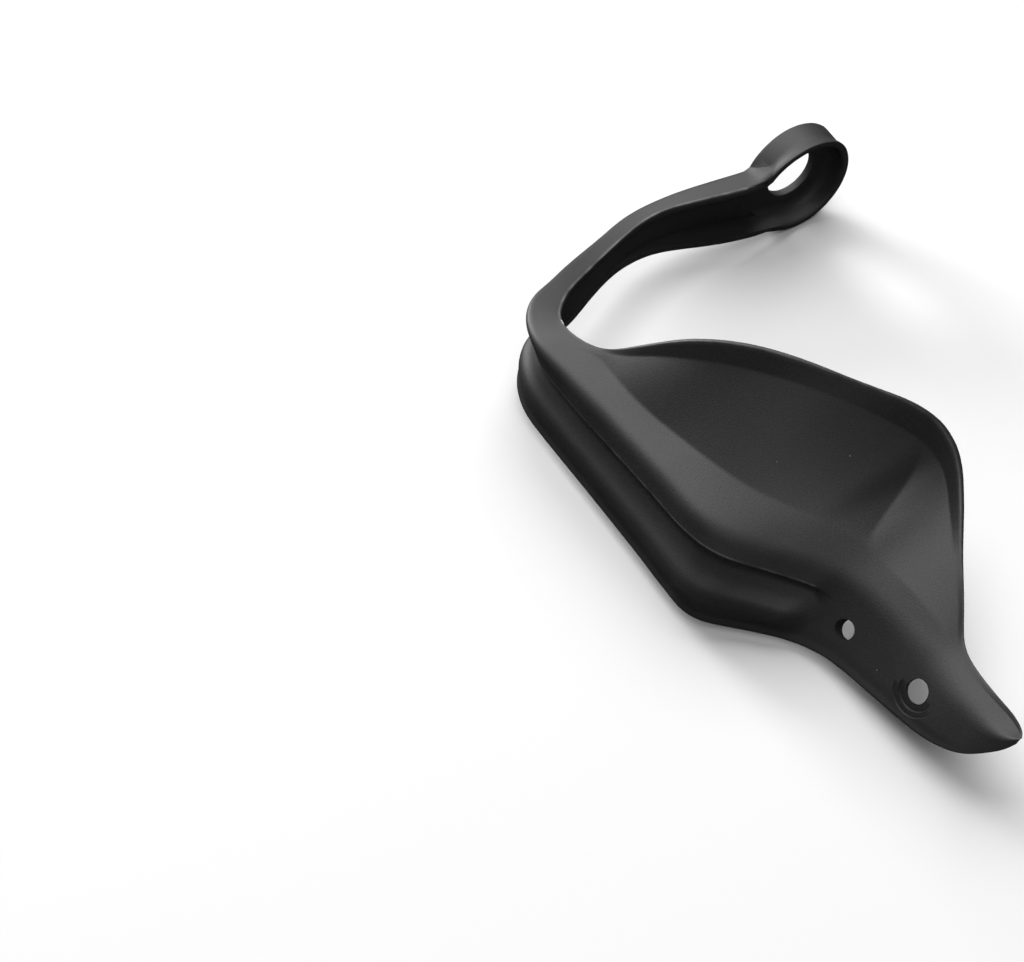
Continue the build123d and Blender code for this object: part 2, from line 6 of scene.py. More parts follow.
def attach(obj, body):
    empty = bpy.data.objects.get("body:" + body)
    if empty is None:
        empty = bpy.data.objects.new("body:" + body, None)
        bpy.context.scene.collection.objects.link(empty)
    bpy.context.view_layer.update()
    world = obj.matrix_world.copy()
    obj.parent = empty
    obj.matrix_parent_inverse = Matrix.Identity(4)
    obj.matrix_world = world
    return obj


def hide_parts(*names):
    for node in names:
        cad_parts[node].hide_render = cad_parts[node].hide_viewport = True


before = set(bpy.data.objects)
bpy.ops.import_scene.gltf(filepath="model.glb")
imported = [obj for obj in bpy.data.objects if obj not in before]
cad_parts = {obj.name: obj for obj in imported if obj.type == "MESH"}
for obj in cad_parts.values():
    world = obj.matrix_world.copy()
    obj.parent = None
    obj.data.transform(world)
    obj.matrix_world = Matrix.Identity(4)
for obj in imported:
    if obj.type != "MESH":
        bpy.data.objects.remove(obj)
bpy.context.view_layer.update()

# --------------------------------------------------------------------------
# Sections of the moulding, millimetres, in the part's own frame.  Each row is
# one station and runs along the outer face: inner rim, lip bend, panel fold,
# panel valley, crown ridge, wall foot, groove top, groove bottom, flange root,
# flange, flange drop, rim bead, rim corner, inner edge of the rim or of the
# arm's bottom flange.
# --------------------------------------------------------------------------
STATIONS = [
    (-7.70, 15.60, 10.30, -5.30, 15.60, 10.20, -4.10, 15.60, 10.10, -2.90, 15.60, 10.00, 3.10, 15.60, 9.50, 2.96, 15.60, -1.92, 2.96, 15.60, -2.31, 2.93, 15.60, -4.53, 2.90, 15.60, -6.63, 2.88, 15.60, -8.33, 2.85, 15.60, -10.55, 2.82, 15.60, -13.69, 2.80, 15.60, -15.00, -8.29, 15.60, -15.00),
    (-7.20, 20.00, 10.40, -4.80, 20.00, 10.20, -3.60, 20.00, 10.10, -2.40, 20.00, 10.00, 3.60, 20.00, 9.30, 3.41, 20.00, -1.84, 3.41, 20.00, -2.22, 3.37, 20.00, -4.39, 3.34, 20.00, -6.43, 3.31, 20.00, -8.09, 3.27, 20.00, -10.26, 3.22, 20.00, -13.32, 3.20, 20.00, -14.60, -8.10, 20.00, -14.60),
    (-6.20, 26.00, 10.50, -3.80, 26.00, 10.20, -2.60, 26.00, 10.05, -1.40, 26.00, 9.90, 4.90, 26.00, 9.00, 4.53, 26.00, -1.62, 4.51, 26.00, -1.99, 4.44, 26.00, -4.06, 4.37, 26.00, -6.01, 4.32, 26.00, -7.59, 4.25, 26.00, -9.66, 4.14, 26.00, -12.58, 4.10, 26.00, -13.80, -7.46, 26.00, -13.80),
    (-3.60, 35.00, 10.20, -1.40, 35.00, 9.80, -0.30, 35.00, 9.65, 0.80, 35.00, 9.50, 6.90, 35.00, 8.60, 6.29, 35.00, -1.37, 6.27, 35.00, -1.72, 6.16, 35.00, -3.66, 6.04, 35.00, -5.49, 5.95, 35.00, -6.97, 5.84, 35.00, -8.91, 5.67, 35.00, -11.66, 5.60, 35.00, -12.80, -5.51, 35.00, -12.80),
    (-0.40, 44.00, 9.20, 1.50, 44.00, 8.90, 2.45, 44.00, 8.75, 3.40, 44.00, 8.60, 9.00, 44.00, 7.80, 8.07, 44.00, -1.33, 8.04, 44.00, -1.65, 7.85, 44.00, -3.43, 7.68, 44.00, -5.10, 7.54, 44.00, -6.46, 7.36, 44.00, -8.24, 7.11, 44.00, -10.75, 7.00, 44.00, -11.80, -2.90, 44.00, -11.80),
    (2.40, 52.00, 7.90, 3.99, 52.17, 7.70, 4.79, 52.25, 7.60, 5.58, 52.33, 7.50, 10.36, 52.84, 7.00, 9.01, 52.69, -1.34, 8.97, 52.69, -1.63, 8.70, 52.66, -3.25, 8.46, 52.64, -4.78, 8.26, 52.62, -6.03, 8.00, 52.59, -7.65, 7.63, 52.55, -9.94, 7.47, 52.53, -10.90, -0.54, 51.69, -10.90),
    (3.30, 59.50, 6.90, 4.78, 59.76, 6.80, 5.52, 59.89, 6.80, 6.25, 60.02, 6.80, 10.59, 60.78, 6.60, 9.03, 60.51, -1.23, 8.97, 60.50, -1.50, 8.67, 60.45, -3.02, 8.38, 60.40, -4.46, 8.15, 60.36, -5.62, 7.85, 60.30, -7.15, 7.42, 60.23, -9.30, 7.24, 60.19, -10.20, 1.09, 59.11, -10.20),
    (2.00, 67.30, 6.40, 3.47, 67.61, 6.50, 4.20, 67.77, 6.55, 4.93, 67.92, 6.60, 9.24, 68.84, 6.80, 7.64, 68.50, -0.84, 7.59, 68.49, -1.11, 7.28, 68.42, -2.59, 6.98, 68.36, -4.00, 6.75, 68.31, -5.13, 6.44, 68.24, -6.62, 6.00, 68.15, -8.72, 5.81, 68.11, -9.60, 1.21, 67.13, -9.60),
    (-0.80, 75.50, 6.80, 0.66, 75.84, 7.00, 1.39, 76.01, 7.10, 2.12, 76.17, 7.20, 6.31, 77.14, 7.60, 4.63, 76.75, -0.18, 4.58, 76.74, -0.45, 4.25, 76.67, -1.97, 3.94, 76.59, -3.39, 3.69, 76.54, -4.55, 3.36, 76.46, -6.07, 2.90, 76.35, -8.21, 2.71, 76.31, -9.10, -0.28, 75.62, -9.10),
    (-4.40, 84.00, 7.80, -2.95, 84.38, 8.10, -2.22, 84.56, 8.20, -1.50, 84.75, 8.30, 2.86, 85.88, 9.00, 1.01, 85.40, 0.80, 0.95, 85.38, 0.52, 0.59, 85.29, -1.08, 0.25, 85.20, -2.59, -0.03, 85.13, -3.81, -0.39, 85.04, -5.40, -0.90, 84.91, -7.66, -1.11, 84.85, -8.60, -3.88, 84.13, -7.93),
    (-8.60, 92.40, 9.60, -7.06, 92.82, 9.90, -6.24, 93.05, 10.00, -5.42, 93.28, 10.10, -0.79, 94.55, 10.80, -2.86, 93.98, 1.99, -2.93, 93.96, 1.69, -3.33, 93.85, -0.03, -3.71, 93.75, -1.64, -4.02, 93.66, -2.95, -4.42, 93.55, -4.67, -4.99, 93.39, -7.09, -5.23, 93.33, -8.10, -7.98, 92.57, -7.40),
    (-13.20, 100.80, 12.00, -11.57, 101.27, 12.20, -10.70, 101.52, 12.30, -9.84, 101.76, 12.40, -4.93, 103.17, 12.80, -7.25, 102.51, 2.59, -7.56, 102.42, 2.23, -7.68, 102.38, 0.20, -7.73, 102.37, -1.72, -7.72, 102.37, -3.27, -8.01, 102.29, -5.31, -8.21, 102.23, -8.01, -8.05, 102.28, -9.38, -10.86, 101.47, -9.72),
    (-17.60, 107.00, 14.10, -15.71, 107.65, 14.20, -14.76, 107.98, 14.25, -13.82, 108.30, 14.30, -8.33, 110.19, 14.40, -10.82, 109.34, 3.81, -11.51, 109.10, 3.36, -11.36, 109.15, 0.73, -10.49, 109.45, -1.74, -9.51, 109.78, -3.74, -9.37, 109.83, -6.35, -9.26, 109.87, -9.81, -8.59, 110.10, -11.56, -11.17, 109.22, -12.67),
    (-21.40, 110.90, 15.70, -19.28, 112.03, 15.70, -18.18, 112.61, 15.70, -17.07, 113.20, 15.70, -11.07, 116.39, 15.80, -13.82, 114.93, 5.13, -14.92, 114.34, 4.62, -14.88, 114.37, 1.50, -13.03, 115.35, -1.46, -10.93, 116.47, -3.81, -10.45, 116.72, -6.92, -10.49, 116.70, -10.97, -9.60, 117.17, -13.01, -11.93, 115.94, -14.31),
    (-25.60, 114.20, 17.40, -23.70, 115.97, 17.40, -22.71, 116.89, 17.35, -21.72, 117.81, 17.30, -16.38, 122.79, 17.20, -18.50, 120.82, 6.97, -19.61, 119.79, 6.40, -19.68, 119.72, 2.83, -17.74, 121.53, -0.60, -15.39, 123.72, -3.36, -14.82, 124.25, -6.88, -15.03, 124.06, -11.58, -14.16, 124.87, -13.98, -16.08, 123.07, -15.29),
    (-30.20, 116.20, 18.90, -28.84, 118.65, 18.70, -28.14, 119.92, 18.65, -27.44, 121.19, 18.60, -23.95, 127.48, 18.20, -25.38, 124.90, 8.88, -26.10, 123.59, 8.23, -26.15, 123.50, 4.34, -24.77, 125.99, 0.62, -23.07, 129.07, -2.39, -22.60, 129.91, -6.27, -22.75, 129.64, -11.39, -22.17, 130.69, -14.00, -23.46, 128.36, -15.23),
    (-35.40, 116.80, 20.00, -34.80, 119.64, 19.80, -34.47, 121.15, 19.70, -34.15, 122.67, 19.60, -32.70, 129.52, 18.80, -32.98, 128.17, 9.95, -33.29, 126.72, 9.23, -33.31, 126.62, 5.16, -32.77, 129.15, 1.32, -32.11, 132.30, -1.80, -31.94, 133.06, -5.87, -32.01, 132.77, -11.25, -31.76, 133.94, -14.00, -32.32, 131.31, -15.18),
    (-42.00, 115.60, 20.60, -41.92, 118.00, 20.30, -41.87, 119.30, 20.15, -41.83, 120.60, 20.00, -41.52, 129.39, 19.00, -41.52, 129.36, 10.17, -41.57, 127.87, 9.45, -41.58, 127.77, 5.34, -41.49, 130.17, 1.47, -41.39, 133.15, -1.67, -41.37, 133.78, -5.78, -41.38, 133.48, -11.22, -41.33, 134.68, -14.00, -41.43, 131.98, -15.17),
    (-50.00, 112.30, 22.20, -50.00, 113.60, 21.60, -50.00, 114.95, 21.10, -50.00, 116.30, 20.60, -50.00, 128.60, 19.00, -50.00, 129.40, 10.34, -50.00, 127.90, 9.61, -50.00, 127.80, 5.47, -50.00, 130.19, 1.58, -50.00, 133.15, -1.59, -50.00, 133.76, -5.73, -50.00, 133.46, -11.20, -50.00, 134.66, -14.00, -50.00, 131.96, -15.16),
    (-57.00, 107.50, 27.00, -57.00, 110.00, 24.00, -57.00, 112.63, 22.41, -57.00, 115.80, 20.50, -57.00, 128.00, 19.00, -57.00, 129.39, 10.40, -57.00, 127.89, 9.67, -57.00, 127.79, 5.52, -57.00, 130.16, 1.62, -57.00, 133.09, -1.56, -57.00, 133.69, -5.70, -57.00, 133.39, -11.19, -57.00, 134.59, -14.00, -57.00, 131.89, -15.16),
    (-64.00, 102.60, 32.60, -64.00, 105.40, 27.80, -64.00, 109.59, 24.83, -64.00, 115.70, 20.50, -64.00, 127.40, 18.80, -64.00, 129.14, 10.40, -64.00, 127.64, 9.67, -64.00, 127.54, 5.52, -64.00, 129.96, 1.62, -64.00, 132.96, -1.56, -64.00, 133.60, -5.70, -64.00, 133.30, -11.19, -64.00, 134.50, -14.00, -64.00, 131.79, -15.16),
    (-72.00, 97.60, 38.60, -72.00, 100.70, 32.00, -72.00, 105.75, 27.80, -72.00, 115.00, 20.10, -72.00, 126.60, 18.70, -72.00, 128.70, 10.40, -72.00, 127.20, 9.67, -72.00, 127.10, 5.52, -72.00, 129.64, 1.62, -72.00, 132.78, -1.56, -72.00, 133.50, -5.70, -72.00, 133.20, -11.19, -72.00, 134.40, -14.00, -72.00, 131.70, -15.16),
    (-80.00, 92.40, 42.80, -80.00, 96.00, 35.40, -80.00, 101.34, 30.63, -80.00, 113.80, 19.50, -80.00, 126.00, 18.60, -80.00, 128.30, 10.36, -80.00, 126.80, 9.63, -80.00, 126.70, 5.49, -80.00, 129.35, 1.59, -80.00, 132.63, -1.57, -80.00, 133.44, -5.72, -80.00, 133.14, -11.20, -80.00, 134.34, -14.00, -80.00, 131.63, -15.16),
    (-88.00, 86.60, 45.00, -88.00, 90.50, 37.30, -88.00, 95.85, 32.84, -88.00, 112.20, 19.20, -88.00, 125.30, 18.40, -88.00, 127.90, 10.30, -88.00, 126.40, 9.57, -88.00, 126.30, 5.44, -88.00, 129.08, 1.55, -88.00, 132.50, -1.61, -88.00, 133.40, -5.74, -88.00, 133.10, -11.21, -88.00, 134.30, -14.00, -88.00, 131.60, -15.16),
    (-96.00, 80.40, 45.30, -96.00, 84.70, 38.00, -96.00, 89.69, 34.35, -96.00, 110.50, 19.10, -96.00, 124.80, 18.10, -96.00, 127.57, 10.25, -96.00, 126.07, 9.52, -96.00, 125.97, 5.40, -96.00, 128.84, 1.52, -96.00, 132.39, -1.63, -96.00, 133.39, -5.75, -96.00, 133.09, -11.21, -96.00, 134.29, -14.00, -96.00, 131.59, -15.16),
    (-104.00, 73.20, 43.60, -104.00, 78.60, 37.60, -104.00, 82.77, 34.95, -104.00, 108.40, 18.70, -104.00, 124.20, 17.60, -104.00, 127.26, 10.19, -104.00, 125.76, 9.47, -104.00, 125.66, 5.35, -104.00, 128.66, 1.48, -104.00, 132.34, -1.66, -104.00, 133.39, -5.77, -104.00, 133.10, -11.22, -104.00, 134.29, -14.00, -104.00, 131.59, -15.16),
    (-112.00, 65.30, 40.20, -112.00, 71.70, 35.40, -112.00, 74.96, 33.71, -112.00, 105.70, 17.80, -112.00, 123.70, 17.00, -112.00, 126.96, 10.11, -112.00, 125.47, 9.39, -112.00, 125.37, 5.29, -112.00, 128.55, 1.44, -112.00, 132.42, -1.70, -112.00, 133.62, -5.80, -112.00, 133.33, -11.22, -112.00, 134.50, -14.00, -112.00, 131.79, -15.14),
    (-119.00, 58.10, 36.80, -119.00, 64.50, 31.70, -119.00, 67.60, 30.46, -119.00, 102.30, 16.60, -119.00, 122.20, 16.20, -119.00, 126.09, 10.02, -119.00, 124.60, 9.29, -119.00, 124.50, 5.19, -119.00, 128.12, 1.36, -119.00, 132.33, -1.75, -119.00, 133.64, -5.84, -119.00, 133.36, -11.26, -119.00, 134.51, -14.02, -119.00, 131.80, -15.16),
    (-125.00, 52.50, 34.00, -125.00, 58.00, 27.30, -125.00, 60.84, 26.47, -125.00, 98.50, 15.40, -125.00, 119.20, 15.00, -125.00, 124.42, 9.78, -125.00, 122.81, 8.98, -125.00, 122.70, 4.75, -125.00, 126.84, 1.01, -125.00, 131.75, -1.95, -125.00, 133.47, -6.00, -125.00, 133.17, -11.46, -125.00, 134.34, -14.19, -125.00, 131.64, -15.35),
    (-130.00, 47.90, 30.20, -130.00, 52.80, 22.90, -130.00, 55.33, 22.38, -130.00, 94.90, 14.20, -130.00, 115.00, 13.50, -130.00, 121.38, 8.76, -130.00, 119.42, 7.71, -130.00, 119.29, 3.46, -130.00, 123.98, 0.10, -130.00, 129.79, -2.60, -130.00, 131.71, -6.70, -130.00, 131.38, -12.32, -130.00, 132.70, -15.07, -130.00, 130.05, -16.35),
    (-135.00, 44.20, 25.00, -135.00, 48.80, 18.20, -135.00, 51.77, 17.32, -135.00, 91.20, 12.80, -135.00, 109.90, 11.50, -135.00, 116.46, 6.91, -135.00, 114.16, 5.77, -135.00, 114.00, 1.79, -135.00, 119.14, -1.28, -135.00, 125.07, -3.81, -135.00, 127.09, -7.84, -135.00, 126.64, -13.51, -135.00, 128.43, -16.25, -135.00, 125.96, -17.86),
    (-137.50, 43.37, 22.40, -137.50, 47.86, 15.97, -137.50, 56.19, 13.17, -137.50, 89.49, 11.95, -137.50, 107.23, 10.51, -137.50, 113.55, 5.81, -137.50, 111.34, 4.72, -137.50, 111.20, 0.93, -137.50, 116.36, -1.97, -137.50, 122.55, -4.36, -137.50, 124.50, -8.32, -137.50, 124.06, -13.82, -137.50, 125.77, -16.56, -137.50, 123.28, -18.12),
    (-140.00, 43.00, 20.00, -140.00, 47.40, 14.00, -140.00, 62.00, 10.50, -140.00, 87.40, 11.00, -140.00, 104.20, 9.50, -140.00, 110.80, 4.75, -140.00, 108.59, 3.69, -140.00, 108.46, 0.06, -140.00, 113.68, -2.66, -140.00, 119.91, -4.90, -140.00, 121.91, -8.72, -140.00, 121.47, -14.03, -140.00, 123.20, -16.69, -140.00, 120.73, -18.29),
    (-142.50, 43.43, 17.96, -142.50, 47.77, 12.41, -142.50, 68.65, 9.16, -142.50, 85.72, 9.96, -142.50, 101.44, 8.41, -142.50, 108.05, 3.66, -142.50, 105.92, 2.66, -142.50, 105.83, -0.79, -142.50, 111.05, -3.36, -142.50, 117.32, -5.45, -142.50, 119.37, -9.08, -142.50, 118.94, -14.19, -142.50, 120.63, -16.77, -142.50, 118.17, -18.38),
    (-145.00, 44.30, 16.20, -145.00, 48.60, 11.10, -145.00, 74.51, 8.19, -145.00, 84.10, 8.90, -145.00, 98.70, 7.30, -145.00, 105.40, 2.60, -145.00, 103.44, 1.68, -145.00, 103.46, -1.57, -145.00, 108.53, -4.05, -145.00, 114.82, -6.01, -145.00, 116.92, -9.47, -145.00, 116.52, -14.37, -145.00, 118.18, -16.83, -145.00, 115.75, -18.48),
    (-147.20, 45.38, 14.89, -147.20, 49.63, 10.17, -147.20, 78.57, 7.66, -147.20, 82.90, 7.98, -147.20, 96.50, 6.35, -147.20, 103.17, 1.73, -147.20, 101.33, 0.88, -147.20, 101.41, -2.21, -147.20, 106.49, -4.61, -147.20, 112.66, -6.51, -147.20, 114.82, -9.82, -147.20, 114.44, -14.52, -147.20, 116.07, -16.87, -147.20, 113.66, -18.55),
    (-149.50, 46.80, 13.70, -149.50, 51.00, 9.40, -149.50, 80.05, 7.14, -149.50, 81.90, 7.10, -149.50, 94.50, 5.40, -149.50, 100.95, 0.83, -149.50, 99.39, 0.04, -149.50, 99.67, -2.86, -149.50, 104.47, -5.14, -149.50, 110.50, -7.00, -149.50, 112.72, -10.16, -149.50, 112.44, -14.64, -149.50, 113.99, -16.89, -149.50, 111.57, -18.56),
    (-153.00, 49.10, 12.20, -153.00, 53.20, 8.60, -153.00, 79.14, 6.25, -153.00, 80.80, 6.10, -153.00, 92.10, 4.10, -153.00, 97.82, -2.20, -153.00, 98.22, -2.64, -153.00, 100.48, -5.14, -153.00, 102.62, -7.49, -153.00, 104.35, -9.40, -153.00, 106.62, -11.90, -153.00, 108.73, -14.81, -153.00, 111.15, -16.90, -153.00, 109.24, -19.13),
    (-155.50, 50.80, 11.30, -155.50, 54.80, 8.20, -155.50, 78.18, 5.82, -155.50, 80.30, 5.60, -155.50, 91.00, 3.40, -155.50, 96.52, -2.68, -155.50, 96.91, -3.11, -155.50, 99.10, -5.52, -155.50, 101.17, -7.79, -155.50, 102.84, -9.63, -155.50, 105.03, -12.05, -155.50, 107.13, -14.80, -155.50, 109.42, -16.87, -155.50, 107.44, -19.05),
    (-158.00, 52.60, 10.40, -158.00, 56.50, 7.90, -158.00, 77.42, 5.58, -158.00, 79.90, 5.30, -158.00, 90.10, 2.80, -158.00, 95.54, -3.03, -158.00, 95.92, -3.44, -158.00, 98.07, -5.76, -158.00, 100.10, -7.94, -158.00, 101.75, -9.70, -158.00, 103.91, -12.02, -158.00, 106.01, -14.64, -158.00, 108.22, -16.65, -158.00, 106.24, -18.82),
    (-161.00, 54.80, 9.50, -161.00, 58.50, 7.60, -161.00, 76.78, 5.43, -161.00, 79.60, 5.10, -161.00, 89.40, 2.30, -161.00, 94.66, -3.28, -161.00, 95.02, -3.68, -161.00, 97.11, -5.89, -161.00, 99.07, -7.98, -161.00, 100.67, -9.67, -161.00, 102.75, -11.88, -161.00, 104.78, -14.40, -161.00, 106.92, -16.31, -161.00, 104.96, -18.51),
    (-165.00, 57.70, 8.30, -165.00, 61.20, 7.20, -165.00, 76.22, 5.37, -165.00, 79.30, 5.00, -165.00, 88.90, 1.80, -165.00, 93.95, -3.50, -165.00, 94.30, -3.87, -165.00, 96.30, -5.98, -165.00, 98.19, -7.96, -165.00, 99.72, -9.56, -165.00, 101.72, -11.67, -165.00, 103.66, -14.07, -165.00, 105.73, -15.87, -165.00, 103.79, -18.09),
    (-171.00, 61.90, 6.70, -171.00, 65.10, 6.50, -171.00, 75.87, 5.18, -171.00, 79.00, 4.80, -171.00, 88.20, 1.50, -171.00, 93.11, -3.54, -171.00, 93.45, -3.89, -171.00, 95.40, -5.89, -171.00, 97.23, -7.77, -171.00, 98.72, -9.30, -171.00, 100.66, -11.30, -171.00, 102.54, -13.59, -171.00, 104.55, -15.30, -171.00, 102.65, -17.54),
    (-178.00, 66.90, 5.00, -178.00, 69.60, 5.30, -178.00, 76.21, 4.59, -178.00, 78.90, 4.30, -178.00, 88.00, 1.20, -178.00, 92.70, -3.52, -178.00, 93.03, -3.85, -178.00, 94.90, -5.73, -178.00, 96.65, -7.49, -178.00, 98.08, -8.92, -178.00, 99.94, -10.80, -178.00, 101.74, -12.96, -178.00, 103.68, -14.54, -178.00, 101.81, -16.82),
    (-184.00, 71.50, 3.40, -184.00, 74.10, 3.90, -184.00, 77.38, 3.64, -184.00, 79.10, 3.50, -184.00, 87.80, 1.10, -184.00, 92.35, -3.41, -184.00, 92.66, -3.73, -184.00, 94.47, -5.52, -184.00, 96.17, -7.20, -184.00, 97.54, -8.57, -184.00, 99.35, -10.36, -184.00, 101.08, -12.44, -184.00, 102.95, -13.94, -184.00, 101.11, -16.23),
    (-190.00, 76.00, 2.40, -190.00, 78.40, 2.50, -190.00, 79.60, 2.50, -190.00, 80.40, 2.50, -190.00, 88.00, 1.00, -190.00, 92.26, -3.35, -190.00, 92.56, -3.65, -190.00, 94.25, -5.38, -190.00, 95.84, -7.00, -190.00, 97.13, -8.32, -190.00, 98.82, -10.05, -190.00, 100.43, -12.05, -190.00, 102.20, -13.50, -190.00, 100.34, -15.77),
    (-196.00, 78.30, 2.40, -196.00, 80.00, 2.50, -196.00, 80.87, 2.56, -196.00, 81.50, 2.60, -196.00, 88.50, 1.30, -196.00, 92.37, -2.96, -196.00, 92.64, -3.26, -196.00, 94.18, -4.95, -196.00, 95.62, -6.54, -196.00, 96.79, -7.83, -196.00, 98.33, -9.52, -196.00, 99.77, -11.48, -196.00, 101.40, -12.90, -196.00, 99.47, -15.12),
    (-203.00, 79.40, 2.80, -203.00, 80.80, 3.00, -203.00, 81.59, 3.11, -203.00, 82.20, 3.20, -203.00, 89.30, 2.00, -203.00, 92.57, -2.20, -203.00, 92.80, -2.49, -203.00, 94.10, -4.16, -203.00, 95.32, -5.73, -203.00, 96.31, -7.00, -203.00, 97.61, -8.67, -203.00, 98.78, -10.59, -203.00, 100.20, -12.00, -203.00, 98.12, -14.08),
    (-210.00, 79.80, 2.90, -210.00, 81.10, 3.30, -210.00, 81.80, 3.57, -210.00, 82.40, 3.80, -210.00, 89.60, 2.80, -210.00, 92.18, -1.04, -210.00, 92.36, -1.31, -210.00, 93.38, -2.83, -210.00, 94.35, -4.27, -210.00, 95.13, -5.43, -210.00, 96.15, -6.95, -210.00, 97.14, -8.63, -210.00, 98.20, -10.00, -210.00, 96.12, -11.60),
    (-216.00, 79.90, 2.80, -216.00, 81.10, 3.40, -216.00, 81.73, 3.77, -216.00, 82.30, 4.10, -216.00, 89.60, 3.50, -216.00, 91.40, 0.53, -216.00, 91.53, 0.32, -216.00, 92.24, -0.86, -216.00, 92.91, -1.96, -216.00, 93.46, -2.87, -216.00, 94.17, -4.04, -216.00, 94.93, -5.29, -216.00, 95.60, -6.40, -216.00, 93.71, -7.54),
    (-220.00, 80.80, 3.20, -220.00, 81.80, 3.80, -220.00, 82.31, 4.16, -220.00, 82.80, 4.50, -220.00, 88.80, 4.30, -220.00, 89.94, 2.29, -220.00, 90.02, 2.15, -220.00, 90.47, 1.35, -220.00, 90.90, 0.60, -220.00, 91.24, -0.01, -220.00, 91.70, -0.81, -220.00, 92.17, -1.65, -220.00, 92.60, -2.40, -220.00, 91.14, -3.23),
    (-222.60, 82.20, 4.00, -222.60, 83.00, 4.60, -222.60, 83.40, 4.90, -222.60, 83.80, 5.20, -222.60, 87.60, 5.20, -222.60, 88.41, 3.85, -222.60, 88.47, 3.76, -222.60, 88.79, 3.22, -222.60, 89.09, 2.72, -222.60, 89.34, 2.31, -222.60, 89.66, 1.77, -222.60, 90.00, 1.20, -222.60, 90.30, 0.70, -222.60, 89.31, 0.11),
    (-224.00, 84.00, 5.60, -224.00, 84.40, 5.80, -224.00, 84.60, 5.90, -224.00, 84.80, 6.00, -224.00, 86.40, 6.10, -224.00, 87.03, 5.08, -224.00, 87.07, 5.01, -224.00, 87.32, 4.60, -224.00, 87.56, 4.22, -224.00, 87.75, 3.91, -224.00, 88.00, 3.51, -224.00, 88.26, 3.08, -224.00, 88.50, 2.70, -224.00, 88.05, 2.42),
    (-224.70, 85.00, 6.50, -224.70, 85.15, 6.55, -224.70, 85.22, 6.57, -224.70, 85.30, 6.60, -224.70, 85.70, 6.50, -224.70, 86.06, 5.96, -224.70, 86.09, 5.92, -224.70, 86.23, 5.71, -224.70, 86.36, 5.51, -224.70, 86.47, 5.34, -224.70, 86.61, 5.13, -224.70, 86.77, 4.90, -224.70, 86.90, 4.70, -224.70, 86.73, 4.58),
]
# bend allowance at each corner after the first, per station group
BENDS = {
    "arm":    (0.5, 0.5, 0.5, 2.5, 0.3, 0.3, 0.3, 0.3, 0.3, 0.3, 0.3, 2.2, 0.7),
    "elbow":  (0.6, 1.0, 1.0, 3.2, 0.35, 0.4, 1.0, 1.3, 2.0, 1.6, 0.6, 0.8, 0.8),
    "shell":  (0.6, 1.8, 0.8, 3.4, 0.32, 0.4, 1.2, 1.7, 2.4, 1.8, 0.7, 0.8, 0.8),
    "tongue": (0.6, 0.8, 0.8, 5.6, 0.3, 0.3, 0.3, 0.3, 0.3, 0.3, 1.0, 1.0, 1.0),
}
GROUPS = ["arm"] * 13 + ["elbow"] * 5 + ["shell"] * 27 + ["tongue"] * 9
WALL = 2.8
RIM = 1.15          # rounding height of the free rim
N_DENSE = 330       # stations along the moulding
TIP = ((203, 210, 216, 220, 222.6, 224, 224.7), (WALL, 2.5, 2.1, 1.6, 1.1, 0.5, 0.2))   # wall towards the tip


def spline(u, y, q):
    """Natural cubic spline through (u, y) at q; y may have several columns."""
    n = len(u)
    h = np.diff(u)
    A = np.zeros((n, n)); A[0, 0] = A[-1, -1] = 1
    r = np.zeros((n,) + y.shape[1:])
    for i in range(1, n - 1):
        A[i, i - 1], A[i, i], A[i, i + 1] = h[i - 1], 2 * (h[i - 1] + h[i]), h[i]
        r[i] = 6 * ((y[i + 1] - y[i]) / h[i] - (y[i] - y[i - 1]) / h[i - 1])
    m = np.linalg.solve(A, r.reshape(n, -1)).reshape(r.shape)
    i = np.clip(np.searchsorted(u, q) - 1, 0, n - 2)
    ext = (slice(None),) + (None,) * (y.ndim - 1)
    a, b, hi = (u[i + 1] - q)[ext], (q - u[i])[ext], h[i][ext]
    return (m[i] * a ** 3 + m[i + 1] * b ** 3) / (6 * hi) + (y[i] / hi - m[i] * hi / 6) * a + (y[i + 1] / hi - m[i + 1] * hi / 6) * b


def soften(y, sigma):
    """Gaussian smoothing along axis 0, ends kept."""
    k = int(3 * sigma) + 1
    w = np.exp(-0.5 * (np.arange(-k, k + 1) / sigma) ** 2); w /= w.sum()
    top, end = 2 * y[:1] - y[k:0:-1], 2 * y[-1:] - y[-2:-k - 2:-1]
    p = np.concatenate([top, y, end])
    return sum(w[j] * p[j:j + len(y)] for j in range(2 * k + 1))


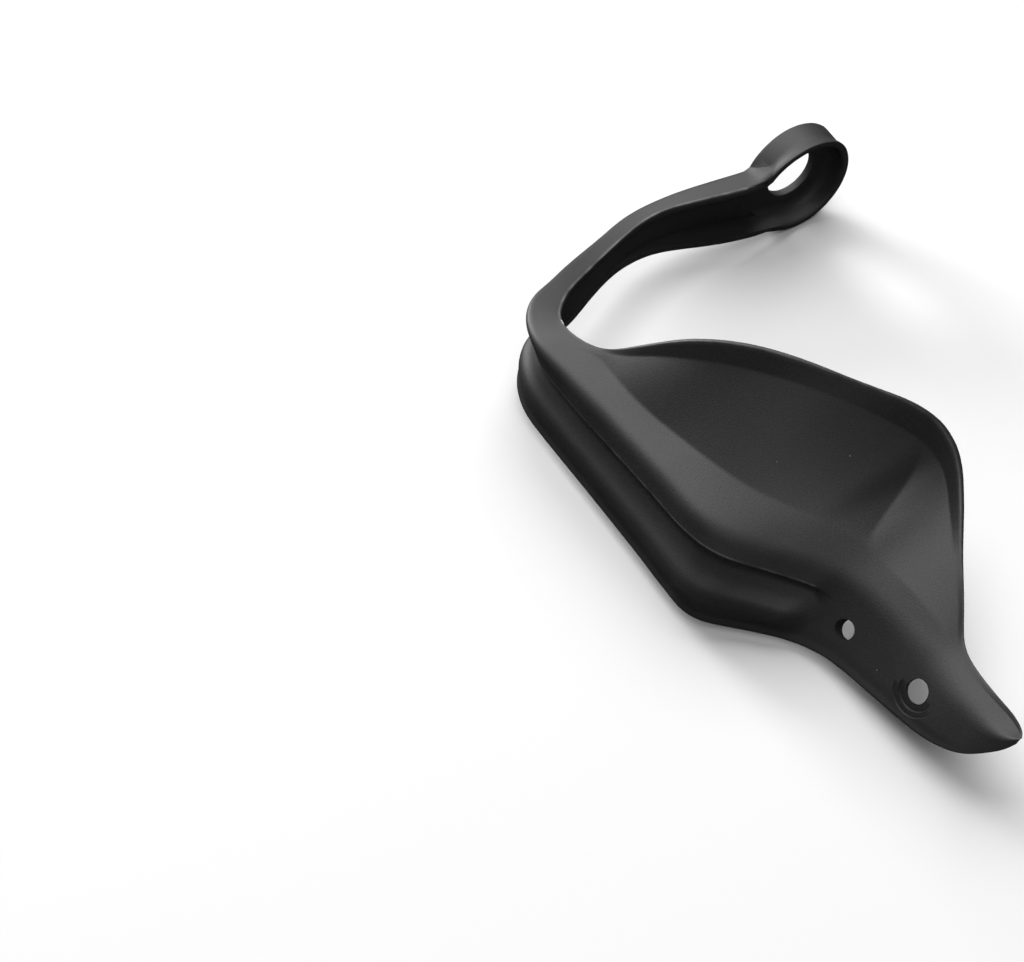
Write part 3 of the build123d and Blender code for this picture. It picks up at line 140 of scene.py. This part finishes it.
def ring(P, bend, wall, plain):
    """Closed outline of the folded wall from its 14 outer corners (along, up, aside)."""
    n = len(P)
    U = P[1:, :2] - P[:-1, :2]
    length = np.linalg.norm(U, axis=1)
    U = U / length[:, None]
    N = np.stack([U[:, 1], -U[:, 0]], 1)
    rim = min(RIM, 0.42 * wall, 0.3 * length[0])
    P = P.copy()
    P[0, :2] += U[0] * rim
    length[0] -= rim
    seg = (5, 8, 10, 9, 6, 1, 4, 3, 3, 3, 4, 1, 3)
    nb = 6
    out = []

    def corner(p, a, b, k):
        t = np.linspace(0, 1, k + 1)[:, None]
        return (1 - t) ** 2 * a + 2 * t * (1 - t) * p + t ** 2 * b

    def lead(i, d, sgn):
        """Point at distance d from corner i along the segment before or after it."""
        j = i - 1 if sgn < 0 else i
        f = d / length[j]
        return P[i] + (P[i - 1] - P[i]) * f if sgn < 0 else P[i] + (P[i + 1] - P[i]) * f

    last = P[0]
    for i in range(1, n - 1):
        room = 0.78 if i == 4 else 0.2 if i in (3, 5) and bend[3] > 4 else 0.42
        d = min(bend[i - 1], room * length[i - 1], room * length[i])
        a, b = lead(i, d, -1), lead(i, d, 1)
        t = np.linspace(0, 1, seg[i - 1] + 1)[:-1, None]
        out.append(last + (a - last) * t)
        out.append(corner(P[i], a, b, nb)[:-1])
        last = b
    # rim end: corner at the inner edge, then up its inner side
    e2 = P[-1].copy(); e2[:2] += N[-1] * wall
    d = min(bend[-1], 0.42 * length[-1], 0.42 * wall)
    a = P[-1] + (P[-2] - P[-1]) * d / length[-1]
    b = P[-1] + (e2 - P[-1]) * d / wall
    t = np.linspace(0, 1, seg[-1] + 1)[:-1, None]
    out.append(last + (a - last) * t)
    out.append(corner(P[-1], a, b, nb))
    # inner face follows a plainer path
    idx = [0, 1, 2, 3, 4, 7, 8, 9, 10, 12]
    Q = P[idx + [13]]
    V = Q[1:, :2] - Q[:-1, :2]
    V = V / np.linalg.norm(V, axis=1)[:, None]
    M = np.stack([V[:, 1], -V[:, 0]], 1)
    I = Q[:-1].copy()
    I[0, :2] += M[0] * wall
    turn = np.zeros(len(I))
    for i in range(1, len(I)):
        c = max(0.4, 1 + M[i - 1] @ M[i])
        I[i, :2] += (M[i - 1] + M[i]) * wall / c
        turn[i] = math.atan2(V[i - 1, 0] * V[i, 1] - V[i - 1, 1] * V[i, 0], V[i - 1] @ V[i])
    # towards the tip the inner face runs straight from the rim to the crown
    for i in (1, 2):
        I[i] += (I[0] + (I[3] - I[0]) * i / 3 - I[i]) * plain
    li = np.linalg.norm(I[1:, :2] - I[:-1, :2], axis=1)
    iseg = (3, 5, 6, 6, 5, 2, 2, 2, 3)
    k = len(I) - 1
    t = np.linspace(0, 1, 3)[:, None]
    last = I[k]
    out.append((b + (e2 - b) * t)[1:])
    for i in range(k, 0, -1):
        if i < k:
            d = bend[idx[i] - 1] + wall * math.tan(turn[i] / 2)
            d = min(max(d, 0.3), 0.42 * li[i - 1], 0.42 * li[i])
            a = I[i] + (I[i + 1] - I[i]) * d / li[i]
            b = I[i] + (I[i - 1] - I[i]) * d / li[i - 1]
            t = np.linspace(0, 1, iseg[i] + 1)[:-1, None]
            out.append(last + (a - last) * t)
            out.append(corner(I[i], a, b, 5)[:-1])
            last = b
    t = np.linspace(0, 1, iseg[0] + 1)[:-1, None]
    out.append(last + (I[0] - last) * t)
    # rounded free rim, from the inner face back to the outer one
    mid, half = (I[0] + P[0]) / 2, (I[0] - P[0]) / 2
    for s in np.linspace(0, math.pi, 11)[:-1]:
        p = mid + half * math.cos(s)
        p[:2] -= U[0] * rim * math.sin(s)
        out.append(p[None])
    return np.concatenate(out)


def loft_mesh(name, rings):
    n, m = len(rings), len(rings[0])
    verts = np.concatenate(rings) * 0.001
    faces = []
    for i in range(n - 1):
        for j in range(m):
            k = (j + 1) % m
            faces.append((i * m + j, i * m + k, (i + 1) * m + k, (i + 1) * m + j))
    faces.append(tuple(range(m - 1, -1, -1)))
    faces.append(tuple((n - 1) * m + j for j in range(m)))
    me = bpy.data.meshes.new(name)
    me.from_pydata(verts.tolist(), [], faces)
    me.update()
    ob = bpy.data.objects.new(name, me)
    bpy.context.scene.collection.objects.link(ob)
    bm = bmesh.new(); bm.from_mesh(me)
    bmesh.ops.remove_doubles(bm, verts=bm.verts, dist=2e-6)
    bmesh.ops.recalc_face_normals(bm, faces=bm.faces)
    bm.to_mesh(me); bm.free()
    return ob


def main_wall():
    S = np.array(STATIONS, float).reshape(len(STATIONS), 14, 3)
    mid = S[:, [0, 4]].mean(1)
    step = np.linalg.norm(np.diff(mid, axis=0), axis=1)
    u = np.r_[0, np.cumsum(np.maximum(step, 1.0))]
    q = np.linspace(u[0], u[-1], N_DENSE)
    D = spline(u, S, q)
    bends = np.array([BENDS[g] for g in GROUPS])
    bd = soften(np.stack([np.interp(q, u, bends[:, j]) for j in range(13)], 1), 4)
    D = soften(D, 1.2)
    rings = []
    for i in range(N_DENSE):
        P = D[i]
        h = P[4, :2] - P[0, :2]; h = h / np.linalg.norm(h)
        w = np.array([h[1], -h[0]])
        rel = P[:, :2] - P[0, :2]
        loc = np.stack([rel @ h, P[:, 2], rel @ w], 1)
        x = P[4, 0]
        wall = float(np.interp(-x, TIP[0], TIP[1]))
        r = ring(loc, bd[i], wall, min(1.0, max(0.0, (-x - 198.0) / 6.0)))
        xy = P[0, :2] + r[:, :1] * h + r[:, 2:3] * w
        rings.append(np.concatenate([xy, r[:, 1:2]], 1))
    return loft_mesh("moulding", rings), D


def lathe(name, profile, axis_o, axis_d, seg=128):
    """Solid of revolution; profile is (distance along the axis, radius), closed."""
    d = Vector(axis_d).normalized()
    a = d.orthogonal().normalized(); b = d.cross(a)
    o = Vector(axis_o)
    verts, faces = [], []
    m = len(profile)
    for s in range(seg):
        t = 2 * math.pi * s / seg
        e = a * math.cos(t) + b * math.sin(t)
        for x, r in profile:
            verts.append((o + d * x + e * r) * 0.001)
    for s in range(seg):
        s2 = (s + 1) % seg
        for j in range(m):
            k = (j + 1) % m
            if profile[j][1] or profile[k][1]:
                faces.append((s * m + j, s * m + k, s2 * m + k, s2 * m + j))
    me = bpy.data.meshes.new(name); me.from_pydata(verts, [], faces)
    bm = bmesh.new(); bm.from_mesh(me)
    bmesh.ops.remove_doubles(bm, verts=bm.verts, dist=1e-7)
    bmesh.ops.recalc_face_normals(bm, faces=bm.faces)
    bm.to_mesh(me); bm.free()
    ob = bpy.data.objects.new(name, me)
    bpy.context.scene.collection.objects.link(ob)
    return ob


def rounded(profile, radii, k=5):
    """Rounds the corners of a closed polygon."""
    out, n = [], len(profile)
    for i in range(n):
        p = Vector((*profile[i], 0)); a = Vector((*profile[i - 1], 0)); b = Vector((*profile[(i + 1) % n], 0))
        r = radii[i]
        if r <= 0:
            out.append(profile[i]); continue
        da = min(r, 0.45 * (a - p).length); db = min(r, 0.45 * (b - p).length)
        s, e = p + (a - p).normalized() * da, p + (b - p).normalized() * db
        for j in range(k + 1):
            t = j / k
            q = s * (1 - t) ** 2 + p * 2 * t * (1 - t) + e * t ** 2
            out.append((q.x, q.y))
    return out


def stack(name, layers):
    """Solid between polygons in Y, Z, all with the same number of points, at rising X."""
    n = len(layers[0][1])
    verts = [(x * 0.001, y * 0.001, z * 0.001) for x, poly in layers for y, z in poly]
    k = len(layers) - 1
    faces = [tuple(range(n)), tuple(range(k * n + n - 1, k * n - 1, -1))]
    faces += [(j * n + i, j * n + (i + 1) % n, (j + 1) * n + (i + 1) % n, (j + 1) * n + i) for j in range(k) for i in range(n)]
    me = bpy.data.meshes.new(name); me.from_pydata(verts, [], faces)
    bm = bmesh.new(); bm.from_mesh(me)
    bmesh.ops.recalc_face_normals(bm, faces=bm.faces)
    bmesh.ops.triangulate(bm, faces=bm.faces)
    bm.to_mesh(me); bm.free()
    ob = bpy.data.objects.new(name, me)
    bpy.context.scene.collection.objects.link(ob)
    return ob


def curve(pts, n):
    """n points of a smooth curve through pts."""
    p = np.array(pts, float)
    u = np.r_[0, np.cumsum(np.linalg.norm(np.diff(p, axis=0), axis=1))]
    return [tuple(v) for v in spline(u, p, np.linspace(0, u[-1], n))]


def between(a, b, t):
    return [(p[0] + (q[0] - p[0]) * t, p[1] + (q[1] - p[1]) * t) for p, q in zip(a, b)]


def lean(ob):
    """The cup's rim stands a little prouder over its top."""
    for v in ob.data.vertices:
        x, z = v.co.x * 1000, v.co.z * 1000
        if x < -5.0 and z > 6.0:
            v.co.x -= 0.0016 * min(1.0, (z - 6.0) / 13.0) ** 1.3 * min(1.0, (-5.0 - x) / 2.0)
    return ob


def combine(target, tool, how):
    mod = target.modifiers.new("cut", "BOOLEAN")
    mod.operation, mod.object, mod.solver = how, tool, "EXACT"
    dg = bpy.context.evaluated_depsgraph_get()
    me = bpy.data.meshes.new_from_object(target.evaluated_get(dg))
    target.modifiers.clear()
    old = target.data
    target.data = me
    bpy.data.meshes.remove(old)
    tm = tool.data
    bpy.data.objects.remove(tool)
    bpy.data.meshes.remove(tm)


# ---- cup -------------------------------------------------------------------
guard, rails = main_wall()
guard.name = "guard_moulding"
blank = lathe("cup", rounded([(-8.0, 0), (-8.0, 20.0), (-6.9, 20.0), (-5.2, 19.35), (3.0, 20.0), (3.0, 0)],
                             [0, 0.8, 0.7, 1.6, 0.9, 0]), (0, 0, 0), (1, 0, 0), 160)
combine(guard, lean(blank), "UNION")
# the arm's top flange flares up into the rim, its bottom flange runs tangent into the cup
flare_rim = curve([(9.2, 17.7), (13.3, 14.8), (16.8, 12.3), (20.0, 10.95), (23.5, 10.5)], 13) + [(23.5, 8.6), (9.0, 8.6)]
flare_back = curve([(16.9, 10.6), (17.2, 10.2), (17.5, 9.9), (18.2, 9.6), (19.5, 9.3)], 13) + [(19.5, 8.6), (9.0, 8.6)]
drop = [0.5] * 13 + [0, 0]
lower = lambda poly, d: [(y - d * 0.5 * k, z - d * k) if k else (y, z) for (y, z), k in zip(poly, drop)]
steps = [(-8.0 + 10.6 * t, between(flare_rim, flare_back, t)) for t in (0.0, 0.03, 0.08, 0.2, 0.4, 0.6, 0.8, 1.0)]
steps[0] = (steps[0][0], lower(steps[0][1], 1.1)); steps[1] = (steps[1][0], lower(steps[1][1], 0.4))
flare = lean(stack("flare", steps))
for v in flare.data.vertices:
    k = min(1.0, max(0.0, (v.co.y * 1000 - 13.0) / 10.5)); k = k * k * (3 - 2 * k)
    v.co.x += 0.0019 * k * min(1.0, max(0.0, (2.6 - v.co.x * 1000) / 10.6))
combine(guard, flare, "UNION")
combine(guard, stack("fairing", [(x, [(4.5, -19.45 + d), (8, -18.35 + d), (12, -17.1 + d), (16.2, -15.1 + d), (16.2, -12.3 - d), (12, -14.3 - d), (6, -16.4 - d), (4.5, -16.9 - d)])
                                 for x, d in ((-7.95, 0.6), (-7.7, 0.25), (-7.2, 0.0), (2.2, 0.0), (2.7, 0.2), (2.95, 0.6))]), "UNION")
hollow = lathe("hollow", [(-12, 0), (-12, 18.4), (-8.05, 18.05), (-7.75, 17.7), (-7.3, 17.45), (-6.7, 17.35), (-4.2, 17.3), (-3.0, 17.1), (-2.0, 16.7), (-1.2, 16.1), (-0.6, 15.3),
                          (-0.2, 14.3), (-0.05, 13.4), (0.0, 12.6), (0.0, 10.35), (0.1, 10.1), (0.35, 10.0), (4.0, 10.0), (4.0, 0)],
               (0, 0, 0), (1, 0, 0), 160)
low = [(23.5, -11.3), (20.0, -12.0), (16.0, -13.1), (12.0, -14.4), (6.2, -16.3), (7.5, -14.1), (12.3, -10.3), (15.0, -5.5), (16.0, 0.0), (15.0, 5.5)]
gate_rim = curve([(8.0, 15.4), (11.7, 12.4), (15.3, 9.9), (18.8, 8.3), (23.5, 7.7)], 13) + low + [(12.7, 9.8), (8.6, 13.5)]
gate_back = curve([(13.6, 9.3), (14.6, 8.9), (16.0, 8.0), (18.8, 7.4), (23.5, 7.3)], 13) + low + [(14.2, 7.4), (13.6, 8.4)]
# at its floor the gate narrows, which leaves the same round corner as in the cup
gate_floor = (curve([(10.6, 6.2), (12.6, 5.9), (15.5, 5.6), (19.0, 6.2), (23.5, 7.3)], 13)
              + [(23.5, -11.3), (20.0, -10.4), (16.0, -9.6), (12.0, -10.0), (8.4, -10.4), (8.0, -9.5), (10.0, -7.3), (11.7, -4.1), (12.4, 0.0), (11.7, 4.1)]
              + [(11.3, 5.1), (10.9, 5.8)])
gate_mid = between(gate_rim, gate_back, 0.5)
gate = stack("gate", [(-12.0, gate_rim), (-8.0, gate_rim)]
             + [(x, between(gate_mid, gate_floor, f)) for x, f in ((-4.0, 0.0), (-2.4, 0.08), (-1.4, 0.22), (-0.7, 0.42), (-0.25, 0.67), (0.01, 1.0))])
for v in gate.data.vertices:
    if v.co.x > -0.0026:
        k = min(1.0, max(0.0, (v.co.y * 1000 - 15.5) / 5.0))
        v.co.x += 0.0008 * k
combine(guard, gate, "DIFFERENCE")
combine(guard, lean(hollow), "DIFFERENCE")

# ---- tongue holes ----------------------------------------------------------
NORMAL = Vector((0.0, 0.73, 0.683)).normalized()
SCREW = Vector((-192.3, 94.4, -5.9))
LOCATOR = Vector((-162.7, 98.5, -7.8))
boss = lathe("boss", rounded([(-3.4, 0), (-3.4, 9.2), (-1.3, 9.4), (-1.3, 0)], [0, 0.4, 0, 0]), SCREW, NORMAL, 96)
combine(guard, boss, "UNION")
# two spot faces, leaning so that only their lower ends cut into the wall
DOWN = Vector((0.0, 0.683, -0.73))
combine(guard, lathe("spot_face", [(0.85, 0), (0.85, 7.85), (1.1, 8.0), (8, 8.0), (8, 0)], SCREW, NORMAL + DOWN * 0.19, 96), "DIFFERENCE")
combine(guard, lathe("spot_step", [(0.45, 0), (0.45, 6.05), (0.7, 6.2), (8, 6.2), (8, 0)], SCREW, NORMAL + DOWN * 0.27, 96), "DIFFERENCE")
combine(guard, lathe("screw_hole", [(-9, 0), (-9, 5.6), (-1.75, 5.4), (-1.45, 4.0), (-1.3, 3.85), (6, 3.85), (6, 0)], SCREW, NORMAL, 96), "DIFFERENCE")
combine(guard, lathe("locator_boss", rounded([(-4.4, 0), (-4.4, 5.6), (-1.2, 6.0), (-1.2, 0)], [0, 0.4, 0, 0]), LOCATOR, NORMAL, 96), "UNION")
combine(guard, lathe("locator", [(-9, 0), (-9, 3.6), (-4.5, 3.5), (-4.2, 3.25), (6, 3.25), (6, 0)], LOCATOR, NORMAL, 96), "DIFFERENCE")
me = guard.data
bm = bmesh.new(); bm.from_mesh(me)
bmesh.ops.remove_doubles(bm, verts=bm.verts, dist=1e-6)
bmesh.ops.dissolve_degenerate(bm, edges=bm.edges, dist=1e-6)
loose = [v for v in bm.verts if not v.link_faces]
bmesh.ops.delete(bm, geom=loose, context="VERTS")
open_edges = sum(1 for e in bm.edges if len(e.link_faces) != 2)
print("guard faces", len(bm.faces), "tris", sum(len(f.verts) - 2 for f in bm.faces), "open edges", open_edges)
bm.to_mesh(me); bm.free()
me.shade_smooth()
me.set_sharp_from_angle(angle=math.radians(32))


def near_line(co, line, reach):
    """Weight that falls from 1 on a polyline to 0 at the given distance."""
    best = np.full(len(co), 1e9)
    for a, b in zip(line[:-1], line[1:]):
        ab = b - a
        t = np.clip(((co - a) @ ab) / (ab @ ab), 0, 1)
        best = np.minimum(best, np.linalg.norm(co - (a + t[:, None] * ab), axis=1))
    return np.clip(1 - best / reach, 0, 1)


# painted highlight: the lip rim, the wall foot edge and the bottom rim edge are painted lighter where light catches
# these rounded edges
co = np.empty(len(me.vertices) * 3); me.vertices.foreach_get("co", co)
co = co.reshape(-1, 3) * 1000
lip = rails[:, 0] + 0.5 * (rails[:, 1] - rails[:, 0]) / np.linalg.norm(rails[:, 1] - rails[:, 0], axis=1)[:, None]
on_arm = (rails[:, 0, 0] > -45) & (rails[:, 0, 1] > 24)
painted_edge_highlight = 0.9 * near_line(co, lip[on_arm][::2], 0.75)
painted_edge_highlight = np.maximum(painted_edge_highlight, 0.45 * near_line(co, lip[rails[:, 0, 0] < -55][::2], 0.75))
foot = rails[(rails[:, 5, 0] > -150) & (rails[:, 5, 1] > 100), 5]
painted_edge_highlight = np.maximum(painted_edge_highlight, 0.8 * near_line(co, foot[::2], 0.55))
painted_edge_highlight = np.maximum(painted_edge_highlight, 0.5 * near_line(co, rails[rails[:, 13, 1] < 80, 13][::2], 0.7))
at = me.attributes.new("painted_edge_highlight", "FLOAT", "POINT")
at.data.foreach_set("value", painted_edge_highlight.astype(np.float32))

# ---- material ----------------------------------------------------------------
def black_plastic():
    m = bpy.data.materials.new("grained_black_plastic")
    m.use_nodes = True
    nt = m.node_tree
    nt.nodes.clear()
    N = nt.nodes.new
    link = nt.links.new
    out = N("ShaderNodeOutputMaterial"); bsdf = N("ShaderNodeBsdfPrincipled")
    link(bsdf.outputs["BSDF"], out.inputs["Surface"])
    co = N("ShaderNodeTexCoord")
    # fine moulded grain
    grain = N("ShaderNodeTexNoise"); grain.inputs["Scale"].default_value = 1900; grain.inputs["Detail"].default_value = 3; grain.inputs["Roughness"].default_value = 0.6
    link(co.outputs["Object"], grain.inputs["Vector"])
    # slow unevenness of the moulded face
    slow = N("ShaderNodeTexNoise"); slow.inputs["Scale"].default_value = 34; slow.inputs["Detail"].default_value = 4; slow.inputs["Roughness"].default_value = 0.55
    link(co.outputs["Object"], slow.inputs["Vector"])
    ramp = N("ShaderNodeValToRGB")
    ramp.color_ramp.elements[0].position, ramp.color_ramp.elements[1].position = 0.30, 0.72
    ramp.color_ramp.elements[0].color = (0.0120, 0.0120, 0.0126, 1)
    ramp.color_ramp.elements[1].color = (0.0144, 0.0144, 0.0150, 1)
    link(slow.outputs["Fac"], ramp.inputs["Fac"])
    # fine speckle of the grain
    fleck = N("ShaderNodeTexNoise"); fleck.inputs["Scale"].default_value = 2600; fleck.inputs["Detail"].default_value = 2; fleck.inputs["Roughness"].default_value = 0.7
    link(co.outputs["Object"], fleck.inputs["Vector"])
    tone = N("ShaderNodeMapRange"); tone.inputs["From Min"].default_value = 0.35; tone.inputs["From Max"].default_value = 0.65; tone.inputs["To Min"].default_value = 0.72; tone.inputs["To Max"].default_value = 1.28
    link(fleck.outputs["Fac"], tone.inputs["Value"])
    speck = N("ShaderNodeMix"); speck.data_type = "RGBA"; speck.blend_type = "MULTIPLY"; speck.inputs["Factor"].default_value = 1.0
    link(ramp.outputs["Color"], speck.inputs["A"]); link(tone.outputs["Result"], speck.inputs["B"])
    # painted highlight on those edges, broken up along their length
    edge = N("ShaderNodeAttribute"); edge.attribute_name = "painted_edge_highlight"
    patchy = N("ShaderNodeTexNoise"); patchy.inputs["Scale"].default_value = 150; patchy.inputs["Detail"].default_value = 3
    link(co.outputs["Object"], patchy.inputs["Vector"])
    patch = N("ShaderNodeMapRange"); patch.inputs["From Min"].default_value = 0.38; patch.inputs["From Max"].default_value = 0.62; patch.inputs["To Min"].default_value = 0.25
    link(patchy.outputs["Fac"], patch.inputs["Value"])
    amount = N("ShaderNodeMath"); amount.operation = "MULTIPLY"
    link(edge.outputs["Fac"], amount.inputs[0]); link(patch.outputs["Result"], amount.inputs[1])
    # painted highlight colour of the lit edges
    highlit_edges = N("ShaderNodeMix"); highlit_edges.data_type = "RGBA"; highlit_edges.inputs["B"].default_value = (0.12, 0.12, 0.122, 1)
    link(amount.outputs["Value"], highlit_edges.inputs["Factor"]); link(speck.outputs["Result"], highlit_edges.inputs["A"])
    # a few specks of dust, and a few pale specks at the elbow's inner corner
    last = highlit_edges
    specks = [((-0.1165, 0.0931, 0.0217), 0.00026, 0.12), ((-0.1266, 0.0729, 0.0216), 0.0003, 0.12),
              ((-0.1787, 0.0984, -0.0092), 0.00028, 0.12), ((-0.0905, 0.0985, 0.0248), 0.00022, 0.12),
              ((-0.02745, 0.1154, 0.0176), 0.00035, 0.3), ((-0.02927, 0.11628, 0.01842), 0.0005, 0.5),
              ((-0.0299, 0.11642, 0.0185), 0.0005, 0.5), ((-0.0306, 0.1166, 0.0187), 0.00055, 0.5), ((-0.0312, 0.1168, 0.0189), 0.0004, 0.4)]
    for at, r, v in specks:
        gap = N("ShaderNodeVectorMath"); gap.operation = "DISTANCE"; gap.inputs[1].default_value = at
        link(co.outputs["Object"], gap.inputs[0])
        near = N("ShaderNodeMapRange"); near.inputs["From Min"].default_value = r; near.inputs["From Max"].default_value = r * 0.5; near.inputs["To Max"].default_value = 0.85
        link(gap.outputs["Value"], near.inputs["Value"])
        pale_speck = N("ShaderNodeMix"); pale_speck.data_type = "RGBA"; pale_speck.inputs["B"].default_value = (v, v, v, 1)
        link(near.outputs["Result"], pale_speck.inputs["Factor"]); link(last.outputs["Result"], pale_speck.inputs["A"])
        last = pale_speck
    link(last.outputs["Result"], bsdf.inputs["Base Color"])
    rough = N("ShaderNodeMapRange"); rough.inputs["To Min"].default_value = 0.50; rough.inputs["To Max"].default_value = 0.60
    link(slow.outputs["Fac"], rough.inputs["Value"])
    link(rough.outputs["Result"], bsdf.inputs["Roughness"])
    bump = N("ShaderNodeBump"); bump.inputs["Strength"].default_value = 0.45; bump.inputs["Distance"].default_value = 0.00015
    link(grain.outputs["Fac"], bump.inputs["Height"])
    link(bump.outputs["Normal"], bsdf.inputs["Normal"])
    bsdf.inputs["Specular IOR Level"].default_value = 0.34
    return m


mat = black_plastic()
guard.data.materials.clear()
guard.data.materials.append(mat)
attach(guard, "root")
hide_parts("hand_guard")

# ---- floor, light, camera -----------------------------------------------------
def floor():
    z = -0.0203
    me = bpy.data.meshes.new("floor")
    s = 3.0
    me.from_pydata([(-s, -s, z), (s, -s, z), (s, s, z), (-s, s, z)], [], [(0, 1, 2, 3)])
    ob = bpy.data.objects.new("floor", me)
    bpy.context.scene.collection.objects.link(ob)
    m = bpy.data.materials.new("pale_floor"); m.use_nodes = True
    b = m.node_tree.nodes["Principled BSDF"]
    b.inputs["Base Color"].default_value = (0.53, 0.53, 0.53, 1)
    b.inputs["Roughness"].default_value = 0.9
    b.inputs["Specular IOR Level"].default_value = 0.1
    me.materials.append(m)
    # the floor throws light on the guard but gives it no gloss from below
    ob.visible_glossy = False


floor()
scene = bpy.context.scene
scene.view_settings.view_transform = "Standard"
world = bpy.data.worlds.new("studio"); scene.world = world
world.use_nodes = True
wt = world.node_tree
wt.nodes["Background"].inputs["Color"].default_value = (1, 1, 1, 1)
# the room is light above the horizon and dark below it, so that steep walls mirror little
wc, wz, wm = (wt.nodes.new("ShaderNode" + k) for k in ("TexCoord", "SeparateXYZ", "MapRange"))
for k, v in (("From Min", -0.3), ("From Max", 0.1), ("To Min", 0.02), ("To Max", 0.19)):
    wm.inputs[k].default_value = v
wt.links.new(wc.outputs["Generated"], wz.inputs[0])
wt.links.new(wz.outputs["Z"], wm.inputs["Value"])
wt.links.new(wm.outputs["Result"], wt.nodes["Background"].inputs["Strength"])


def area(name, loc, target, size, power):
    L = bpy.data.lights.new(name, "AREA"); L.shape = "RECTANGLE"; L.size, L.size_y = size; L.energy = power
    o = bpy.data.objects.new(name, L)
    o.location = loc
    o.rotation_euler = (Vector(target) - Vector(loc)).to_track_quat("-Z", "Y").to_euler()
    scene.collection.objects.link(o)


C = (-0.11, 0.06, 0.0)
area("key", (1.7, -0.95, 3.15), C, (4.2, 3.2), 240)
area("front", (-1.0, 0.45, 2.3), C, (1.6, 1.6), 21)
area("edge", (1.55, 0.3, 0.5), (-0.02, 0.11, 0.0), (0.5, 0.4), 38)

cam = bpy.data.cameras.new("camera"); cam.sensor_width = 36; cam.sensor_fit = "HORIZONTAL"; cam.lens = 1850 * 36 / 1024
co = bpy.data.objects.new("camera", cam)
right, up, back = Vector((-0.5171, -0.8552, -0.0343)), Vector((0.6757, -0.4325, 0.5970)), Vector((-0.5254, 0.2856, 0.8015))
back.normalize(); right = up.cross(back).normalized(); up = back.cross(right).normalized()
M = Matrix((right, up, back)).transposed().to_4x4()
M.translation = Vector((-0.37621, 0.32692, 0.47522))
co.matrix_world = M
cam.clip_start = 0.01
scene.collection.objects.link(co)
scene.camera = co

bpy.context.view_layer.update()
